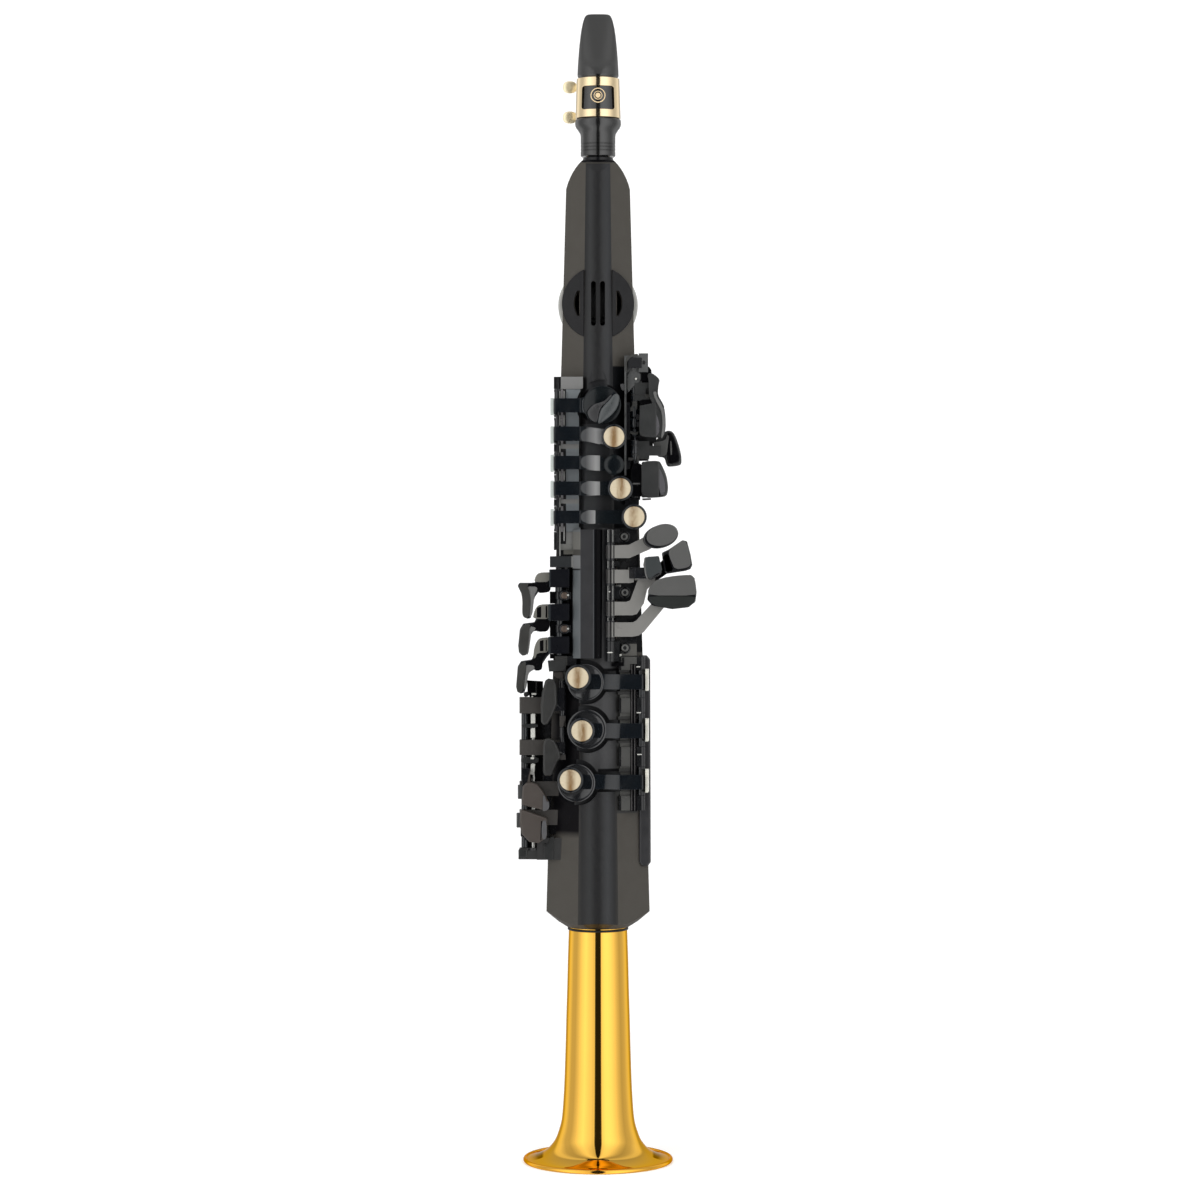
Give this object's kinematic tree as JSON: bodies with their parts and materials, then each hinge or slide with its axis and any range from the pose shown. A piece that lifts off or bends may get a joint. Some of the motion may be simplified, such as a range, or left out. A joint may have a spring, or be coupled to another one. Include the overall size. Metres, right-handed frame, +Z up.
{
  "type": "digital soprano saxophone",
  "caption": "Straight electronic saxophone: tapered moulded body, sprung pivoting keys, side speakers, flared brass bell and beak mouthpiece with ligature.",
  "frame": {"origin": "centre of the bell rim plane, on the instrument's long axis", "axes": "+Z up the instrument towards the mouthpiece tip; the keys face -Y; +X is the side of the little-finger table keys and palm keys"},
  "size_m": [0.1087, 0.0929, 0.6989],
  "materials": {
    "shell_black": "fine matte texture",
    "key_black": "satin to gloss",
    "touch_grey": "matte",
    "rail_grey": "satin",
    "speaker_grey": "satin light grey",
    "lacquered_brass": "polished clear lacquer",
    "pale_gold": "polished",
    "ebonite": "polished moulding",
    "cane": "cut cane",
    "cork": "greased cork",
    "pearl": "mother of pearl look",
    "steel": "plain",
    "spring_steel": "blued to brown",
    "felt": "pressed felt",
    "mesh_black": "perforated, painted",
    "board_green": "solder mask",
    "driver_dark": "paper cone and steel basket",
    "cell_wrap": "printed sleeve, no lettering",
    "button_grey": "matte"
  },
  "bodies": {
    "body": {"body_front_shell": "shell_black", "body_rear_shell": "shell_black", "bell": "lacquered_brass", "neck_tenon": "shell_black", "neck_cork": "cork", "speaker_wings": "shell_black", "speaker_ring": "speaker_grey", "speaker_grille": "mesh_black", "speaker_driver": "driver_dark", "main_board": "board_green", "battery_cells": "cell_wrap", "control_panel": "key_black", "thumb_rest": "touch_grey", "strap_ring": "rail_grey", "key_rails": "rail_grey", "palm_key_chassis": "rail_grey", "key_guards": "touch_grey", "felt_bumpers": "felt", "hinge_rods": "steel", "needle_springs": "spring_steel", "fixing_screws": "steel"},
    "mouthpiece_group": {"mouthpiece": "ebonite", "reed": "cane", "ligature_band": "pale_gold"},
    "ligature_screw_upper": {"ligature_screw_upper": "pale_gold"},
    "ligature_screw_lower": {"ligature_screw_lower": "pale_gold"},
    "front_f_key": {"front_f_key": "key_black"},
    "b_key": {"b_key": "key_black", "b_key_pearl": "pearl"},
    "bis_key": {"bis_key": "key_black"},
    "a_key": {"a_key": "key_black", "a_key_pearl": "pearl"},
    "g_key": {"g_key": "key_black", "g_key_pearl": "pearl"},
    "rh_f_key": {"rh_f_key": "key_black", "rh_f_key_pearl": "pearl"},
    "rh_e_key": {"rh_e_key": "key_black", "rh_e_key_pearl": "pearl"},
    "rh_d_key": {"rh_d_key": "key_black", "rh_d_key_pearl": "pearl"},
    "g_sharp_key": {"g_sharp_key": "touch_grey"},
    "low_c_sharp_key": {"low_c_sharp_key": "touch_grey"},
    "low_b_key": {"low_b_key": "touch_grey"},
    "low_b_flat_key": {"low_b_flat_key": "touch_grey"},
    "side_e_key": {"side_e_key": "key_black"},
    "side_c_key": {"side_c_key": "key_black"},
    "side_b_flat_key": {"side_b_flat_key": "key_black"},
    "high_f_sharp_key": {"high_f_sharp_key": "key_black"},
    "alternate_f_sharp_key": {"alternate_f_sharp_key": "key_black"},
    "low_e_flat_key": {"low_e_flat_key": "key_black"},
    "low_c_key": {"low_c_key": "key_black"},
    "palm_d_key": {"palm_d_key": "key_black"},
    "palm_e_flat_key": {"palm_e_flat_key": "key_black"},
    "palm_f_key": {"palm_f_key": "key_black"},
    "octave_key": {"octave_key": "key_black"},
    "analog_lever": {"analog_lever": "touch_grey"},
    "power_button": {"power_button": "button_grey"},
    "volume_rocker": {"volume_rocker": "button_grey"},
    "thumb_hook": {"thumb_hook": "touch_grey"},
    "battery_cover": {"battery_cover": "shell_black"}
  },
  "joints": [
    {"name": "mouthpiece_tuning_slide", "type": "slide", "parent": "body", "child": "mouthpiece_group", "axis": [0, 0, 1], "range_m": [-0.0005, 0.014]},
    {"name": "ligature_screw_upper_turn", "type": "hinge", "parent": "mouthpiece_group", "child": "ligature_screw_upper", "pos_m": [0, 0.0156, 0.6556], "axis": [1, 0, 0], "continuous": true},
    {"name": "ligature_screw_lower_turn", "type": "hinge", "parent": "mouthpiece_group", "child": "ligature_screw_lower", "pos_m": [0, 0.0156, 0.6372], "axis": [1, 0, 0], "continuous": true},
    {"name": "front_f_press", "type": "hinge", "parent": "body", "child": "front_f_key", "pos_m": [-0.0242, -0.016, 0.4614], "axis": [0, 0, 1], "range_deg": [0, 5], "stiffness_Nm_per_rad": 0.05, "springref_deg": -20.05},
    {"name": "b_press", "type": "hinge", "parent": "body", "child": "b_key", "pos_m": [-0.0242, -0.016, 0.4449], "axis": [0, 0, 1], "range_deg": [0, 5], "stiffness_Nm_per_rad": 0.05, "springref_deg": -20.05},
    {"name": "bis_press", "type": "hinge", "parent": "body", "child": "bis_key", "pos_m": [-0.0242, -0.016, 0.4252], "axis": [0, 0, 1], "range_deg": [0, 4], "stiffness_Nm_per_rad": 0.05, "springref_deg": -20.05},
    {"name": "a_press", "type": "hinge", "parent": "body", "child": "a_key", "pos_m": [-0.0242, -0.016, 0.411], "axis": [0, 0, 1], "range_deg": [0, 4.5], "stiffness_Nm_per_rad": 0.05, "springref_deg": -20.05},
    {"name": "g_press", "type": "hinge", "parent": "body", "child": "g_key", "pos_m": [-0.0242, -0.016, 0.3917], "axis": [0, 0, 1], "range_deg": [0, 4], "stiffness_Nm_per_rad": 0.05, "springref_deg": -20.05},
    {"name": "rh_f_press", "type": "hinge", "parent": "body", "child": "rh_f_key", "pos_m": [0.026, -0.017, 0.2922], "axis": [0, 0, -1], "range_deg": [0, 4], "stiffness_Nm_per_rad": 0.05, "springref_deg": -20.05},
    {"name": "rh_e_press", "type": "hinge", "parent": "body", "child": "rh_e_key", "pos_m": [0.026, -0.017, 0.2645], "axis": [0, 0, -1], "range_deg": [0, 4], "stiffness_Nm_per_rad": 0.05, "springref_deg": -20.05},
    {"name": "rh_d_press", "type": "hinge", "parent": "body", "child": "rh_d_key", "pos_m": [0.026, -0.017, 0.2335], "axis": [0, 0, -1], "range_deg": [0, 3.5], "stiffness_Nm_per_rad": 0.05, "springref_deg": -20.05},
    {"name": "g_sharp_press", "type": "hinge", "parent": "body", "child": "g_sharp_key", "pos_m": [0.0075, -0.0226, 0.372], "axis": [0, 0, 1], "range_deg": [0, 4], "stiffness_Nm_per_rad": 0.05, "springref_deg": -20.05},
    {"name": "low_c_sharp_press", "type": "hinge", "parent": "body", "child": "low_c_sharp_key", "pos_m": [0.0075, -0.0226, 0.3572], "axis": [0, 0, 1], "range_deg": [0, 4], "stiffness_Nm_per_rad": 0.05, "springref_deg": -20.05},
    {"name": "low_b_press", "type": "hinge", "parent": "body", "child": "low_b_key", "pos_m": [0.0075, -0.0226, 0.3378], "axis": [0, 0, 1], "range_deg": [0, 4], "stiffness_Nm_per_rad": 0.05, "springref_deg": -20.05},
    {"name": "low_b_flat_press", "type": "hinge", "parent": "body", "child": "low_b_flat_key", "pos_m": [0.0075, -0.0226, 0.3246], "axis": [0, 0, 1], "range_deg": [0, 4], "stiffness_Nm_per_rad": 0.05, "springref_deg": -20.05},
    {"name": "side_e_press", "type": "hinge", "parent": "body", "child": "side_e_key", "pos_m": [-0.0232, -0.0166, 0.355], "axis": [0, 0, -1], "range_deg": [0, 6], "stiffness_Nm_per_rad": 0.05, "springref_deg": -20.05},
    {"name": "side_c_press", "type": "hinge", "parent": "body", "child": "side_c_key", "pos_m": [-0.0232, -0.0166, 0.3356], "axis": [0, 0, -1], "range_deg": [0, 6], "stiffness_Nm_per_rad": 0.05, "springref_deg": -20.05},
    {"name": "side_b_flat_press", "type": "hinge", "parent": "body", "child": "side_b_flat_key", "pos_m": [-0.0232, -0.0166, 0.3162], "axis": [0, 0, -1], "range_deg": [0, 6], "stiffness_Nm_per_rad": 0.05, "springref_deg": -20.05},
    {"name": "high_f_sharp_press", "type": "hinge", "parent": "body", "child": "high_f_sharp_key", "pos_m": [-0.0214, -0.017, 0.2835], "axis": [0, 0, -1], "range_deg": [0, 6], "stiffness_Nm_per_rad": 0.05, "springref_deg": -20.05},
    {"name": "alternate_f_sharp_press", "type": "hinge", "parent": "body", "child": "alternate_f_sharp_key", "pos_m": [-0.0214, -0.017, 0.2578], "axis": [0, 0, -1], "range_deg": [0, 6], "stiffness_Nm_per_rad": 0.05, "springref_deg": -20.05},
    {"name": "low_e_flat_press", "type": "hinge", "parent": "body", "child": "low_e_flat_key", "pos_m": [-0.0445, -0.009, 0.2408], "axis": [0, 0, 1], "range_deg": [0, 7], "stiffness_Nm_per_rad": 0.05, "springref_deg": -20.05},
    {"name": "low_c_press", "type": "hinge", "parent": "body", "child": "low_c_key", "pos_m": [-0.0445, -0.009, 0.2026], "axis": [0, 0, 1], "range_deg": [0, 7], "stiffness_Nm_per_rad": 0.05, "springref_deg": -20.05},
    {"name": "palm_d_press", "type": "hinge", "parent": "body", "child": "palm_d_key", "pos_m": [0.022, -0.0124, 0.471], "axis": [0, 0, 1], "range_deg": [0, 6], "stiffness_Nm_per_rad": 0.05, "springref_deg": -20.05},
    {"name": "palm_e_flat_press", "type": "hinge", "parent": "body", "child": "palm_e_flat_key", "pos_m": [0.022, -0.0124, 0.4132], "axis": [0, 0, 1], "range_deg": [0, 6], "stiffness_Nm_per_rad": 0.05, "springref_deg": -20.05},
    {"name": "palm_f_press", "type": "hinge", "parent": "body", "child": "palm_f_key", "pos_m": [0.022, -0.0124, 0.4333], "axis": [0, 0, 1], "range_deg": [0, 6], "stiffness_Nm_per_rad": 0.05, "springref_deg": -20.05},
    {"name": "octave_press", "type": "hinge", "parent": "body", "child": "octave_key", "pos_m": [0, 0.0244, 0.466], "axis": [-1, 0, 0], "range_deg": [0, 4], "stiffness_Nm_per_rad": 0.05, "springref_deg": -20.05},
    {"name": "analog_lever_tilt", "type": "hinge", "parent": "body", "child": "analog_lever", "pos_m": [0, 0.017, 0.318], "axis": [1, 0, 0], "range_deg": [-8, 8], "stiffness_Nm_per_rad": 0.02},
    {"name": "power_button_press", "type": "slide", "parent": "body", "child": "power_button", "axis": [0, -1, 0], "range_m": [0, 0.0008], "stiffness_N_per_m": 300, "springref_m": -0.002},
    {"name": "volume_rocker_tilt", "type": "hinge", "parent": "body", "child": "volume_rocker", "pos_m": [0, 0.0152, 0.574], "axis": [1, 0, 0], "range_deg": [-3, 3], "stiffness_Nm_per_rad": 0.02},
    {"name": "thumb_hook_slide", "type": "slide", "parent": "body", "child": "thumb_hook", "axis": [0, 0, 1], "range_m": [-0.006, 0.006]},
    {"name": "battery_cover_lift", "type": "slide", "parent": "body", "child": "battery_cover", "axis": [0, 1, 0], "range_m": [0, 0.012]}
  ]
}
